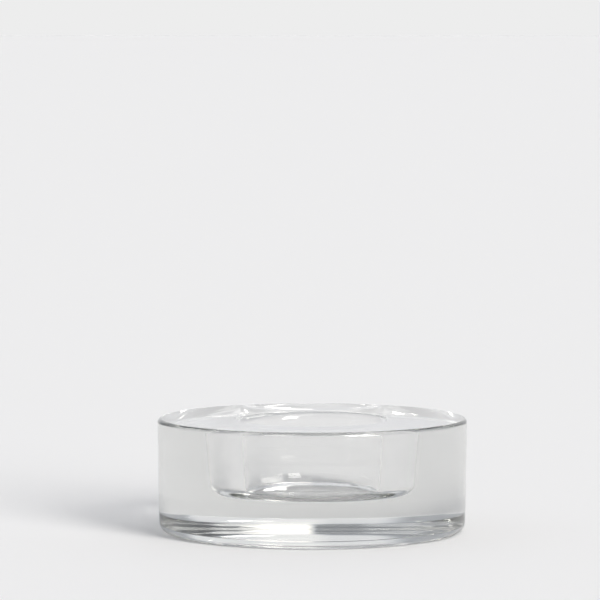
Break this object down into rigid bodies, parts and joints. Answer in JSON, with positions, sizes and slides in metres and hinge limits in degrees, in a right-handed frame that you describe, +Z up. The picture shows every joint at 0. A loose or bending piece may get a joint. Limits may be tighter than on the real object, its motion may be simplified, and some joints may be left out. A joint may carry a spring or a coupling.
{
  "type": "votive candle holder",
  "caption": "Low, heavy round block of clear glass with soft edges and a tapered central well that holds a tealight candle upright.",
  "frame": {"origin": "centre of the flat base, on the block's axis", "axes": "+Z up along the block's axis, out of the well's mouth; X and Y are free by symmetry"},
  "size_m": [0.095, 0.095, 0.035],
  "materials": {
    "clear_glass": "clear pressed glass, fire-polished all over"
  },
  "bodies": {
    "root": {"glass_body": "clear_glass"}
  },
  "joints": []
}
